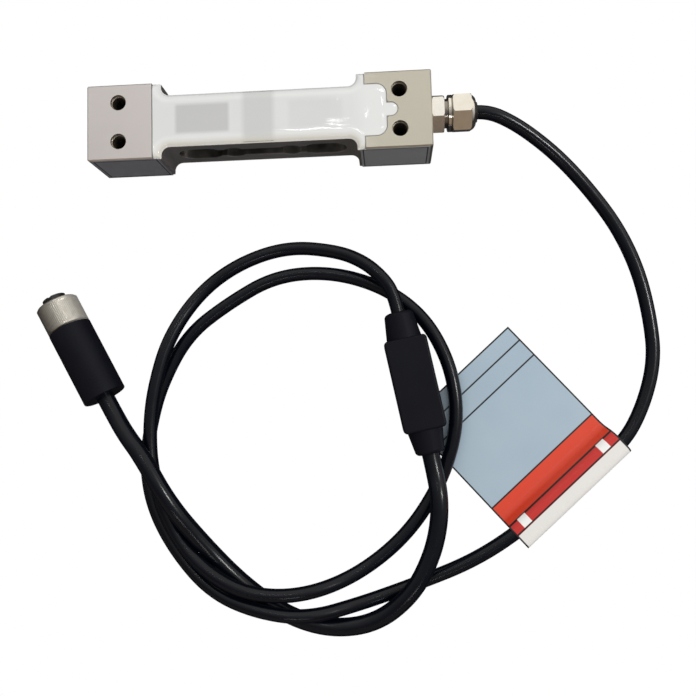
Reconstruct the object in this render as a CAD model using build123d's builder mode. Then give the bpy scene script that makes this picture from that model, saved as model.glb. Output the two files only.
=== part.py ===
from build123d import *
import os
from math import cos, radians, sin, sqrt, tan

os.makedirs("parts", exist_ok=True)

# Single point strain gauge load cell, in millimetres.
# Origin: centre of the beam's underside. +X runs along the beam to the cable gland, +Z is up.
# The cables, the flag label, the inline converter and the round connector lie on the same
# surface as the beam, on its -Y side.

# Beam
beam_length = 130.0
beam_width = 29.0
beam_height = 22.0
end_block_length = 28.0
waist_recess = 4.5
shoulder_radius = 3.2
relief_depth = 1.8
relief_reach = 3.2
edge_chamfer = 0.4
surface = Plane.XY

# Window that makes the beam bend as a parallelogram
lobe_length = 17.0
lobe_height = 10.8
lobe_margin = 4.5
scallop_radius = 5.0
scallop_step = 13.0
slot_height = 7.0

# Mounting holes, tapped right through both end blocks
hole_end_distance = 12.0
hole_spacing_y = 15.0
hole_diameter = 6.0

# Cable entry and wire pocket in the gland end
gland_height = 14.5
gland_thread = 10.8
gland_thread_depth = 8.5
wire_bore = 6.0
pocket_offset = 0.4
pocket_length = 11.0
pocket_side_wall = 4.45
pocket_floor_drop = 2.5
pocket_radius = 4.0
pocket_lobe_length = 4.1
pocket_lobe_width = 5.5
pocket_lobe_root = 1.0
duct_offset = 1.4
duct_bore = 2.6

# Potting, gauges and bridge board
potting_gap = 0.2
potting_edge = 1.1
gauge_thickness = 0.1
gauge_end_margin = 3.25
gauge_side_margin = 1.4
cover_board_gap = 5.4
cover_lobe_gap = 0.85
cover_lane_gap = 2.2
cover_thickness = 0.5
board_length = 11.5
board_side_gap = 0.4
board_thickness = 0.8
resistor_length = 2.0
resistor_width = 1.25
resistor_height = 0.5
wire_diameter = 0.7
wire_clearance = 0.05
wire_radius = 1.6
wire_side_gap = 2.4
wire_pitch = 1.2
wire_rise = 4.0
wire_end = 2.0

# Side labels
label_margin = 1.0
label_edge_gap = 0.8
label_thickness = 0.12

# Cable gland
gland_across_flats = 13.0
gland_hex_length = 4.6
gland_turn = 25.6
gland_neck = 10.7
gland_neck_length = 1.3
gland_collar = 13.5
gland_collar_length = 1.9
cap_across_flats = 13.0
cap_hex_length = 6.9
cap_dome_length = 1.7
cap_dome_end = 9.6
cap_turn = 14.3
cap_wall = 1.1
seal_lip = 0.6
seal_wall = 0.9
claw_fingers = 6
claw_slot = 0.6
gland_ring_section = 0.8
hex_chamfer = 0.5

# Cables
sensor_cable_diameter = 5.2
connector_cable_diameter = 6.7
straight_end = 7.4
stub_gap = 0.6

# Flag label folded round the sensor cable
tag_length = 53.0
tag_depth = 59.0
tag_film = 0.25
tag_loop_height = 6.0
tag_loop_flat = 4.4
tag_slope_end = 10.0
tag_corner = (91.9, -159.4)
tag_angle = 131.6

# Inline converter
converter_centre = (55.5, -101.6)
converter_angle = -78.9
converter_length = 35.0
converter_width = 16.2
converter_height = 15.0
converter_corner = 1.6
sensor_collar_length = 10.5
connector_collar_length = 9.0
collar_root = 13.5
collar_tip = 11.3
collar_edge = 1.8
cavity_wall = 2.2
circuit_thickness = 1.6
circuit_gap = 0.3
chip_height = 1.4

# Round connector
connector_rear = (-63.5, -102.9)
connector_angle = 117.7
moulding_diameter = 16.4
moulding_length = 29.9
moulding_edge = 0.5
nut_diameter = 16.2
nut_length = 11.2
nut_gap = 0.25
nut_thread = 10.9
nut_lip_length = 1.9
nut_grooves = 36
nut_groove_depth = 0.25
nut_plain_band = 1.4
carrier_diameter = 9.0
carrier_reach = 2.5
carrier_flange = 10.5
carrier_flange_length = 1.0
carrier_root = 4.0
running_clearance = 0.2
contact_circle = 5.0
contact_diameter = 1.4
contact_bore = 1.0
contact_length = 9.0
contact_count = 4
key_width = 1.2
key_depth = 0.7
ring_section = 0.8

# Worked-out places along the beam
half_length = beam_length / 2
waist_end = half_length - end_block_length
waist_width = beam_width - 2 * waist_recess
waist_top = beam_height - relief_depth
potting_top = beam_height - potting_gap
relief_length = 2 * (waist_end + relief_reach)
front_face = -beam_width / 2
lobe_centre = waist_end - lobe_margin - lobe_length / 2
scallop_centre = lobe_centre - scallop_step
hole_spacing_x = beam_length - 2 * hole_end_distance
pocket_start = waist_end + pocket_offset
pocket_end = pocket_start + pocket_length
pocket_lobe_end = pocket_end + pocket_lobe_length
pocket_lobe_centre = pocket_lobe_end - pocket_lobe_width / 2
pocket_width = beam_width - 2 * pocket_side_wall
pocket_floor = gland_height - pocket_floor_drop
duct_centre = pocket_start + duct_offset
wire_lane = waist_width / 2 - wire_side_gap
cover_inner = board_length / 2 + cover_board_gap
cover_outer = lobe_centre + lobe_length / 2 - cover_lobe_gap
cover_length = cover_outer - cover_inner
cover_width = 2 * (wire_lane - cover_lane_gap)
gauge_centre = (cover_inner + cover_outer) / 2
gauge_length = cover_length - 2 * gauge_end_margin
gauge_width = cover_width - 2 * gauge_side_margin


def save(solid, name):
    solid.label = name
    export_step(solid, f"parts/{name}.step")
    return solid


# Plan of the beam, with the waist cut in from both sides
with BuildSketch(surface) as beam_plan:
    Rectangle(beam_length, beam_width)
    with Locations((0, (beam_width + waist_width) / 4), (0, -(beam_width + waist_width) / 4)):
        Rectangle(2 * waist_end, (beam_width - waist_width) / 2, mode=Mode.SUBTRACT)
    inner_corners = [v for v in vertices() if abs(v.X) < waist_end + 0.1 and abs(v.Y) < waist_width / 2 + 0.1]
    fillet(inner_corners, shoulder_radius)

# Plan of the potted area, which runs a little way into both end blocks
with BuildSketch(surface) as relief_plan:
    add(beam_plan.sketch)
    Rectangle(relief_length, beam_width, mode=Mode.INTERSECT)

# Plan of the wire pocket, with the lobe where the conductors come in
with BuildSketch(surface) as pocket_plan:
    with Locations(((pocket_start + pocket_end) / 2, 0)):
        Rectangle(pocket_end - pocket_start, pocket_width)
    fillet(vertices().group_by(Axis.X)[-1], pocket_radius)
    with BuildLine():
        Polyline(
            (pocket_end - pocket_radius, -pocket_lobe_width / 2),
            (pocket_lobe_centre, -pocket_lobe_width / 2),
        )
        ThreePointArc(
            (pocket_lobe_centre, -pocket_lobe_width / 2),
            (pocket_lobe_end, 0),
            (pocket_lobe_centre, pocket_lobe_width / 2),
        )
        Polyline(
            (pocket_lobe_centre, pocket_lobe_width / 2),
            (pocket_end - pocket_radius, pocket_lobe_width / 2),
            (pocket_end - pocket_radius, -pocket_lobe_width / 2),
        )
    make_face()
    end_flat = pocket_width / 2 - pocket_radius - pocket_lobe_width / 2
    lobe_roots = [
        v for v in vertices()
        if abs(v.X - pocket_end) < 0.01 and abs(v.Y) < pocket_lobe_width / 2 + end_flat / 2
    ]
    fillet(lobe_roots, min(pocket_lobe_root, 0.9 * end_flat))

# Load cell body, milled from one bar
with BuildPart() as load_cell_body:
    extrude(beam_plan.sketch, amount=beam_height)
    with Locations((0, 0, 0), (0, 0, waist_top)):
        Box(
            relief_length, beam_width, relief_depth,
            align=(Align.CENTER, Align.CENTER, Align.MIN), mode=Mode.SUBTRACT,
        )
    with BuildSketch(Plane.XZ.offset(-waist_width)) as window:
        with Locations((-lobe_centre, beam_height / 2), (lobe_centre, beam_height / 2)):
            SlotOverall(lobe_length, lobe_height)
        with Locations((-scallop_centre, beam_height / 2), (scallop_centre, beam_height / 2)):
            Circle(scallop_radius)
        with Locations((0, beam_height / 2)):
            Rectangle(2 * lobe_centre, slot_height)
    extrude(amount=2 * waist_width, mode=Mode.SUBTRACT)
    with BuildSketch(surface.offset(pocket_floor)):
        add(pocket_plan.sketch)
    extrude(amount=beam_height - pocket_floor, mode=Mode.SUBTRACT)
    with GridLocations(hole_spacing_x, hole_spacing_y, 2, 2):
        Cylinder(
            hole_diameter / 2, beam_height,
            align=(Align.CENTER, Align.CENTER, Align.MIN), mode=Mode.SUBTRACT,
        )
    with BuildSketch(Plane.YZ.offset(half_length)):
        with Locations((0, gland_height)):
            Circle(gland_thread / 2)
    extrude(amount=-gland_thread_depth, mode=Mode.SUBTRACT)
    with BuildSketch(Plane.YZ.offset(half_length)):
        with Locations((0, gland_height)):
            Circle(wire_bore / 2)
    extrude(amount=pocket_lobe_centre - half_length, mode=Mode.SUBTRACT)
    with Locations((duct_centre, 0, 0)):
        Cylinder(
            duct_bore / 2, beam_height,
            align=(Align.CENTER, Align.CENTER, Align.MIN), mode=Mode.SUBTRACT,
        )
    end_faces = faces().filter_by(Axis.X).sort_by(Axis.X)
    long_edges = edges().filter_by(Axis.X).filter_by(
        lambda e: abs(e.center().Y) > beam_width / 2 - 0.01
        and abs(e.center().Z - beam_height / 2) > beam_height / 2 - 0.01
    )
    end_edges = end_faces[0].outer_wire().edges() + end_faces[-1].outer_wire().edges()
    chamfer(long_edges + end_edges, edge_chamfer)
save(load_cell_body.part, "load_cell_body")

# Strain gauges, one over each thin web of the window, on the top and on the underside
with BuildPart() as top_strain_gauges:
    with Locations((-gauge_centre, 0, waist_top), (gauge_centre, 0, waist_top)):
        Box(
            gauge_length, gauge_width, gauge_thickness,
            align=(Align.CENTER, Align.CENTER, Align.MIN),
        )
save(top_strain_gauges.part, "top_strain_gauges")

with BuildPart() as bottom_strain_gauges:
    with Locations((-gauge_centre, 0, relief_depth), (gauge_centre, 0, relief_depth)):
        Box(
            gauge_length, gauge_width, gauge_thickness,
            align=(Align.CENTER, Align.CENTER, Align.MAX),
        )
save(bottom_strain_gauges.part, "bottom_strain_gauges")

# Soft cover pads over the gauges
cover_top = waist_top + gauge_thickness
cover_bottom = relief_depth - gauge_thickness
with BuildPart() as top_gauge_covers:
    with Locations((-gauge_centre, 0, cover_top), (gauge_centre, 0, cover_top)):
        Box(
            cover_length, cover_width, cover_thickness,
            align=(Align.CENTER, Align.CENTER, Align.MIN),
        )
save(top_gauge_covers.part, "top_gauge_covers")

with BuildPart() as bottom_gauge_covers:
    with Locations((-gauge_centre, 0, cover_bottom), (gauge_centre, 0, cover_bottom)):
        Box(
            cover_length, cover_width, cover_thickness,
            align=(Align.CENTER, Align.CENTER, Align.MAX),
        )
save(bottom_gauge_covers.part, "bottom_gauge_covers")

# Bridge board across the middle of the waist, with its trimming resistors
board_width = waist_width - 2 * board_side_gap
with BuildPart() as bridge_board:
    with Locations((0, 0, waist_top)):
        Box(
            board_length, board_width, board_thickness,
            align=(Align.CENTER, Align.CENTER, Align.MIN),
        )
save(bridge_board.part, "bridge_board")

with BuildPart() as bridge_resistors:
    with Locations((0, 0, waist_top + board_thickness)):
        with GridLocations(board_length / 2, board_width / 4, 2, 3):
            Box(
                resistor_length, resistor_width, resistor_height,
                align=(Align.CENTER, Align.CENTER, Align.MIN),
            )
save(bridge_resistors.part, "bridge_resistors")


def wire(points, diameter):
    """One round wire along straight runs with arcs between them."""
    with BuildPart(mode=Mode.PRIVATE) as strand:
        with BuildLine() as route:
            FilletPolyline(*points, radius=wire_radius)
        with BuildSketch(Plane(origin=route.line @ 0, z_dir=route.line % 0)):
            Circle(diameter / 2)
        sweep()
    return strand.part


# Conductors from the cable's end, through the pocket, to the bridge board
stub_start = pocket_lobe_end + stub_gap
lay_height = waist_top + wire_diameter / 2 + 3 * wire_clearance
board_edge = board_length / 2
conductor_routes = []
for side in (-1, 1):
    for row in (-1, 1):
        lane = side * (wire_lane - row * wire_pitch / 2)
        entry = side * wire_pitch / 2
        level = gland_height + row * wire_pitch / 2
        conductor_routes.append(
            [
                (stub_start, entry, level),
                (pocket_end, entry, level),
                (pocket_end - wire_rise, lane, lay_height),
                (board_edge, lane, lay_height),
            ]
        )
with BuildPart() as conductors:
    for points in conductor_routes:
        add(wire(points, wire_diameter))
save(conductors.part, "conductors")

# Wires from the lower gauges, along the underside and up the duct to the pocket
low_height = relief_depth - wire_diameter / 2 - 3 * wire_clearance
duct_lane = wire_diameter / 2 + 2 * wire_clearance
gauge_wire_routes = [
    [
        (-cover_inner, 0, low_height),
        (3 * wire_radius - cover_inner, 0, low_height),
        (0, wire_lane, low_height),
        (cover_outer, wire_lane, low_height),
        (duct_centre - 2.2 * wire_radius, duct_lane, low_height),
        (duct_centre, duct_lane, low_height),
        (duct_centre, duct_lane, pocket_floor + wire_end),
    ],
    [
        (cover_outer, -duct_lane, low_height),
        (duct_centre, -duct_lane, low_height),
        (duct_centre, -duct_lane, pocket_floor + wire_end),
    ],
]
with BuildPart() as gauge_wires:
    for points in gauge_wire_routes:
        add(wire(points, wire_diameter))
save(gauge_wires.part, "gauge_wires")

# Potting on the top, which also fills the pocket round the conductors
wire_hole = wire_diameter + 2 * wire_clearance
with BuildPart() as top_potting:
    with BuildSketch(surface.offset(waist_top)):
        add(relief_plan.sketch)
    extrude(amount=potting_top - waist_top)
    fillet(faces().sort_by(Axis.Z)[-1].edges().filter_by(Axis.X), potting_edge)
    with BuildSketch(surface.offset(pocket_floor)):
        add(pocket_plan.sketch)
    extrude(amount=potting_top - pocket_floor)
    for piece in (top_strain_gauges, top_gauge_covers, bridge_board, bridge_resistors):
        add(piece.part, mode=Mode.SUBTRACT)
    for points in conductor_routes:
        add(wire(points, wire_hole), mode=Mode.SUBTRACT)
    for points in gauge_wire_routes:
        add(wire(points, wire_hole), mode=Mode.SUBTRACT)
save(top_potting.part, "top_potting")

# Potting on the underside
with BuildPart() as bottom_potting:
    with BuildSketch(surface.offset(potting_gap)):
        add(relief_plan.sketch)
    extrude(amount=relief_depth - potting_gap)
    fillet(faces().sort_by(Axis.Z)[0].edges().filter_by(Axis.X), potting_edge)
    for piece in (bottom_strain_gauges, bottom_gauge_covers):
        add(piece.part, mode=Mode.SUBTRACT)
    for points in gauge_wire_routes:
        add(wire(points, wire_hole), mode=Mode.SUBTRACT)
save(bottom_potting.part, "bottom_potting")

# Silver labels on the front faces of both end blocks
label_centre = half_length - end_block_length / 2
label_length = end_block_length - 2 * label_margin
label_height = beam_height - 2 * label_edge_gap
for name, side in (("left_side_label", -1), ("right_side_label", 1)):
    with BuildPart() as side_label:
        with BuildSketch(Plane.XZ.offset(-front_face)):
            with Locations((side * label_centre, beam_height / 2)):
                RectangleRounded(label_length, label_height, edge_chamfer)
        extrude(amount=label_thickness)
    save(side_label.part, name)

# Cable gland. Its profiles are drawn as (distance from the end face, radius) and turned
# about the gland's axis.
gland_plane = Plane(origin=(half_length, 0, gland_height), x_dir=(1, 0, 0), z_dir=(0, -1, 0))
gland_end = Plane(origin=(half_length, 0, gland_height), x_dir=(0, 1, 0), z_dir=(1, 0, 0))
gland_axis = Axis((half_length, 0, gland_height), (1, 0, 0))
neck_start = gland_hex_length
neck_end = gland_hex_length + gland_neck_length
collar_end = neck_end + gland_collar_length
cap_end = collar_end + cap_hex_length
dome_end = cap_end + cap_dome_length
cable_bore = sensor_cable_diameter + 2 * running_clearance
spigot_end = collar_end + cap_hex_length / 2
spigot_outer = gland_neck - 2 * running_clearance
seal_outer = spigot_outer - 2 * cap_wall


def hexagon_bar(across_flats, start, length, turn):
    """A hexagon bar on the gland's axis, its corners turned off to a shallow cone."""
    with BuildPart(mode=Mode.PRIVATE) as bar:
        with BuildSketch(gland_end.offset(start)):
            RegularPolygon(across_flats / 2, 6, major_radius=False, rotation=90 + turn)
        extrude(amount=length)
        with BuildSketch(gland_plane):
            with BuildLine():
                Polyline(
                    (start, 0),
                    (start, across_flats / sqrt(3) - hex_chamfer),
                    (start + hex_chamfer, across_flats / sqrt(3)),
                    (start + length - hex_chamfer, across_flats / sqrt(3)),
                    (start + length, across_flats / sqrt(3) - hex_chamfer),
                    (start + length, 0),
                    close=True,
                )
            make_face()
        revolve(axis=gland_axis, mode=Mode.INTERSECT)
    return bar.part


# Gland body: threaded shank, hexagon, neck and the spigot that carries the cap nut
with BuildPart() as gland_body:
    add(hexagon_bar(gland_across_flats, 0, gland_hex_length, gland_turn))
    with BuildSketch(gland_plane):
        with BuildLine():
            Polyline(
                (-gland_thread_depth, 0),
                (-gland_thread_depth, gland_thread / 2 - hex_chamfer),
                (hex_chamfer - gland_thread_depth, gland_thread / 2),
                (0, gland_thread / 2),
                (neck_start, gland_thread / 2),
                (neck_start, gland_neck / 2),
                (neck_end, gland_neck / 2),
                (neck_end, spigot_outer / 2),
                (spigot_end, spigot_outer / 2),
                (spigot_end, 0),
                close=True,
            )
        make_face()
    revolve(axis=gland_axis)
    with BuildSketch(gland_end.offset(-gland_thread_depth)):
        Circle(cable_bore / 2)
    extrude(amount=gland_thread_depth + spigot_end, mode=Mode.SUBTRACT)
    with BuildSketch(gland_end.offset(neck_end)):
        Circle(spigot_outer / 2 - cap_wall)
    extrude(amount=spigot_end - neck_end, mode=Mode.SUBTRACT)
    with BuildSketch(gland_plane):
        with Locations((gland_ring_section / 2, gland_thread / 2 + gland_ring_section / 2)):
            Rectangle(gland_ring_section, gland_ring_section + 2 * wire_clearance)
    revolve(axis=gland_axis, mode=Mode.SUBTRACT)
save(gland_body.part, "gland_body")

# O-ring in the groove under the gland's hexagon
with BuildPart() as gland_o_ring:
    with BuildSketch(gland_plane):
        with Locations((gland_ring_section / 2, gland_thread / 2 + gland_ring_section / 2)):
            Circle(gland_ring_section / 2)
    revolve(axis=gland_axis)
save(gland_o_ring.part, "gland_o_ring")

# Clamping claw: a slotted sleeve inside the spigot
claw_inner = sensor_cable_diameter + 2 * seal_wall
claw_start = neck_end
claw_end = cap_end
with BuildPart() as gland_claw:
    with BuildSketch(gland_end.offset(claw_start)):
        Circle(spigot_outer / 2 - cap_wall)
        Circle(claw_inner / 2, mode=Mode.SUBTRACT)
    extrude(amount=claw_end - claw_start)
    with BuildSketch(gland_end.offset(spigot_end)):
        with PolarLocations(claw_inner / 2, claw_fingers):
            Rectangle(spigot_outer, claw_slot)
    extrude(amount=claw_end - spigot_end, mode=Mode.SUBTRACT)
save(gland_claw.part, "gland_claw")

# Rubber seal that grips the cable and just shows at the cap's mouth
with BuildPart() as gland_seal:
    with BuildSketch(gland_plane):
        with BuildLine():
            Polyline(
                (claw_start, sensor_cable_diameter / 2),
                (claw_start, claw_inner / 2),
                (claw_end, claw_inner / 2),
                (dome_end + seal_lip, cap_dome_end / 2 - cap_wall),
                (dome_end + seal_lip, sensor_cable_diameter / 2),
                close=True,
            )
        make_face()
    revolve(axis=gland_axis)
save(gland_seal.part, "gland_seal")

# Cap nut: round collar, hexagon and dome
with BuildPart() as gland_cap_nut:
    add(hexagon_bar(cap_across_flats, collar_end, cap_hex_length, cap_turn))
    with BuildSketch(gland_plane):
        with BuildLine():
            Polyline(
                (neck_end, 0),
                (neck_end, gland_collar / 2 - hex_chamfer / 2),
                (neck_end + hex_chamfer / 2, gland_collar / 2),
                (collar_end - hex_chamfer / 2, gland_collar / 2),
                (collar_end, gland_collar / 2 - hex_chamfer / 2),
                (cap_end, cap_across_flats / 2),
            )
            RadiusArc((cap_end, cap_across_flats / 2), (dome_end, cap_dome_end / 2), cap_dome_length * 1.6)
            Polyline((dome_end, cap_dome_end / 2), (dome_end, 0), (neck_end, 0))
        make_face()
    revolve(axis=gland_axis)
    with BuildSketch(gland_end.offset(neck_end)):
        Circle(spigot_outer / 2)
    extrude(amount=cap_end - neck_end, mode=Mode.SUBTRACT)
    with BuildSketch(gland_plane):
        with BuildLine():
            Polyline(
                (cap_end, 0),
                (cap_end, claw_inner / 2),
                (dome_end + seal_lip, cap_dome_end / 2 - cap_wall),
                (dome_end + seal_lip, 0),
                close=True,
            )
        make_face()
    revolve(axis=gland_axis, mode=Mode.SUBTRACT)
save(gland_cap_nut.part, "gland_cap_nut")

# Stripped end of the sensor cable, held in the gland
cable_start = half_length + dome_end + seal_lip
with BuildPart() as cable_stub:
    with BuildSketch(gland_end.offset(stub_start - half_length)):
        Circle(sensor_cable_diameter / 2)
    extrude(amount=cable_start - stub_start)
save(cable_stub.part, "cable_stub")

# Inline converter: overmoulded box with a tapered collar at both ends
converter_level = tag_film * 2 + converter_height / 2
converter_point = (converter_centre[0], converter_centre[1], converter_level)
converter_dir = (cos(radians(converter_angle)), sin(radians(converter_angle)), 0)
converter_plane = Plane(origin=converter_point, x_dir=converter_dir, z_dir=(0, 0, 1))
converter_side = Plane(origin=converter_point, x_dir=converter_dir, z_dir=(-converter_dir[1], converter_dir[0], 0))
converter_axis = Axis(converter_point, converter_dir)
box_half = converter_length / 2
sensor_reach = box_half + sensor_collar_length
connector_reach = box_half + connector_collar_length

with BuildPart() as inline_housing:
    with BuildSketch(converter_plane.offset(-converter_height / 2)):
        RectangleRounded(converter_length, converter_width, converter_corner)
    extrude(amount=converter_height)
    fillet(edges().group_by(Axis.Z)[0] + edges().group_by(Axis.Z)[-1], converter_corner * 0.6)
    with BuildSketch(converter_side):
        with BuildLine():
            Polyline(
                (-sensor_reach, 0),
                (-sensor_reach, collar_tip / 2 - collar_edge),
            )
            RadiusArc(
                (-sensor_reach, collar_tip / 2 - collar_edge),
                (collar_edge - sensor_reach, collar_tip / 2),
                collar_edge,
            )
            Polyline(
                (collar_edge - sensor_reach, collar_tip / 2),
                (-box_half, collar_root / 2),
                (box_half, collar_root / 2),
                (connector_reach - collar_edge, collar_tip / 2),
            )
            RadiusArc(
                (connector_reach - collar_edge, collar_tip / 2),
                (connector_reach, collar_tip / 2 - collar_edge),
                collar_edge,
            )
            Polyline(
                (connector_reach, collar_tip / 2 - collar_edge),
                (connector_reach, 0),
                (-sensor_reach, 0),
            )
        make_face()
    revolve(axis=converter_axis)
    with BuildSketch(converter_plane.offset(cavity_wall - converter_height / 2)):
        Rectangle(converter_length - 2 * cavity_wall, converter_width - 2 * cavity_wall)
    extrude(amount=converter_height - 2 * cavity_wall, mode=Mode.SUBTRACT)
save(inline_housing.part, "inline_housing")

# Converter circuit inside the box, on its own chips' side of the cavity
circuit_length = converter_length - 2 * cavity_wall - 2 * circuit_gap
circuit_width = converter_width - 2 * cavity_wall - 2 * circuit_gap
circuit_floor = cavity_wall - converter_height / 2
with BuildPart() as converter_board:
    with BuildSketch(converter_plane.offset(circuit_floor)):
        Rectangle(circuit_length, circuit_width)
    extrude(amount=circuit_thickness)
save(converter_board.part, "converter_board")

with BuildPart() as converter_chips:
    with BuildSketch(converter_plane.offset(circuit_floor + circuit_thickness)):
        with GridLocations(circuit_length / 3, circuit_width / 2, 3, 2):
            Rectangle(circuit_length / 5, circuit_width / 4)
    extrude(amount=chip_height)
save(converter_chips.part, "converter_chips")

# Flag label: one strip of film folded round the cable, its two leaves stuck together
tag_dir = (cos(radians(tag_angle)), sin(radians(tag_angle)), 0)
tag_plane = Plane(
    origin=(tag_corner[0], tag_corner[1], 0),
    x_dir=tag_dir,
    z_dir=(tag_dir[1], -tag_dir[0], 0),
)
loop_radius = tag_loop_height / 2
inner_radius = loop_radius - tag_film
leaf_height = 2 * tag_film
with BuildPart() as cable_tag:
    with BuildSketch(tag_plane):
        with BuildLine():
            Line((tag_depth, 0), (-loop_radius, 0))
            ThreePointArc((-loop_radius, 0), (-2 * loop_radius, loop_radius), (-loop_radius, 2 * loop_radius))
            Line((-loop_radius, 2 * loop_radius), (tag_loop_flat - loop_radius, 2 * loop_radius))
            Spline(
                (tag_loop_flat - loop_radius, 2 * loop_radius), (tag_slope_end, leaf_height),
                tangents=((1, 0), (1, 0)),
            )
            Polyline((tag_slope_end, leaf_height), (tag_depth, leaf_height), (tag_depth, 0))
        make_face()
        with BuildLine():
            Line((tag_slope_end - 1, tag_film), (-loop_radius, tag_film))
            ThreePointArc(
                (-loop_radius, tag_film),
                (-loop_radius - inner_radius, loop_radius),
                (-loop_radius, 2 * loop_radius - tag_film),
            )
            Line(
                (-loop_radius, 2 * loop_radius - tag_film),
                (tag_loop_flat - loop_radius, 2 * loop_radius - tag_film),
            )
            Spline(
                (tag_loop_flat - loop_radius, 2 * loop_radius - tag_film), (tag_slope_end - 1, tag_film),
                tangents=((1, 0), (1, -0.1)),
            )
        make_face(mode=Mode.SUBTRACT)
    extrude(amount=tag_length)
save(cable_tag.part, "cable_tag")

# Round connector. Its profiles are drawn as (distance from the moulding's rear, radius).
connector_level = moulding_diameter / 2
connector_point = (connector_rear[0], connector_rear[1], connector_level)
connector_dir = (cos(radians(connector_angle)), sin(radians(connector_angle)), 0)
connector_plane = Plane(
    origin=connector_point, x_dir=connector_dir, z_dir=(connector_dir[1], -connector_dir[0], 0)
)
connector_end = Plane(origin=connector_point, x_dir=(-connector_dir[1], connector_dir[0], 0), z_dir=connector_dir)
connector_axis = Axis(connector_point, connector_dir)
nut_start = moulding_length + nut_gap
nut_end = nut_start + nut_length
lip_end = nut_start + nut_lip_length
flange_start = lip_end + running_clearance
flange_end = flange_start + carrier_flange_length
carrier_start = moulding_length - carrier_root
carrier_end = nut_end + carrier_reach

# Moulded grip behind the coupling nut
with BuildPart() as connector_moulding:
    with BuildSketch(connector_plane):
        with BuildLine():
            Line((0, 0), (0, moulding_diameter / 2 - moulding_edge))
            RadiusArc((0, moulding_diameter / 2 - moulding_edge), (moulding_edge, moulding_diameter / 2), moulding_edge)
            Polyline(
                (moulding_edge, moulding_diameter / 2),
                (moulding_length, moulding_diameter / 2),
                (moulding_length, carrier_diameter / 2),
                (carrier_start, carrier_diameter / 2),
                (carrier_start, 0),
                (0, 0),
            )
        make_face()
    revolve(axis=connector_axis)
save(connector_moulding.part, "connector_moulding")

# Contact carrier, with its key, its flange and a bore for each contact
with BuildPart() as contact_carrier:
    with BuildSketch(connector_plane):
        with BuildLine():
            Polyline(
                (carrier_start, 0),
                (carrier_start, carrier_diameter / 2),
                (flange_start, carrier_diameter / 2),
                (flange_start, carrier_flange / 2),
                (flange_end, carrier_flange / 2),
                (flange_end, carrier_diameter / 2),
                (carrier_end, carrier_diameter / 2),
                (carrier_end, 0),
                close=True,
            )
        make_face()
    revolve(axis=connector_axis)
    with BuildSketch(connector_end.offset(carrier_end)):
        with PolarLocations(contact_circle / 2, contact_count):
            Circle(contact_diameter / 2)
    extrude(amount=-contact_length, mode=Mode.SUBTRACT)
    with BuildSketch(connector_end.offset(carrier_end)):
        with Locations((0, carrier_diameter / 2)):
            Rectangle(key_width, 2 * key_depth)
    extrude(amount=-contact_length, mode=Mode.SUBTRACT)
save(contact_carrier.part, "contact_carrier")

# Contact sockets
with BuildPart() as contact_sockets:
    with BuildSketch(connector_end.offset(carrier_end - contact_length)):
        with PolarLocations(contact_circle / 2, contact_count):
            Circle(contact_diameter / 2)
    extrude(amount=contact_length - carrier_reach / 4)
    with BuildSketch(connector_end.offset(carrier_end)):
        with PolarLocations(contact_circle / 2, contact_count):
            Circle(contact_bore / 2)
    extrude(amount=-contact_length / 2, mode=Mode.SUBTRACT)
save(contact_sockets.part, "contact_sockets")

# Sealing ring in front of the carrier's flange
with BuildPart() as connector_o_ring:
    with BuildSketch(connector_plane):
        with Locations((flange_end + ring_section / 2, carrier_diameter / 2 + ring_section / 2)):
            Circle(ring_section / 2)
    revolve(axis=connector_axis)
save(connector_o_ring.part, "connector_o_ring")

# Coupling nut: turns freely behind the carrier's flange, knurled outside, threaded inside
with BuildPart() as coupling_nut:
    with BuildSketch(connector_plane):
        with BuildLine():
            Polyline(
                (nut_start, carrier_diameter / 2 + running_clearance),
                (nut_start, nut_diameter / 2 - hex_chamfer),
                (nut_start + hex_chamfer, nut_diameter / 2),
                (nut_end - hex_chamfer, nut_diameter / 2),
                (nut_end, nut_diameter / 2 - hex_chamfer),
                (nut_end, nut_thread / 2),
                (lip_end, nut_thread / 2),
                (lip_end, carrier_diameter / 2 + running_clearance),
                close=True,
            )
        make_face()
    revolve(axis=connector_axis)
    with BuildSketch(connector_end.offset(nut_start)):
        with PolarLocations(nut_diameter / 2 + nut_groove_depth, nut_grooves):
            Circle(2 * nut_groove_depth)
    extrude(amount=nut_length - nut_plain_band, mode=Mode.SUBTRACT)
save(coupling_nut.part, "coupling_nut")

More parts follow.
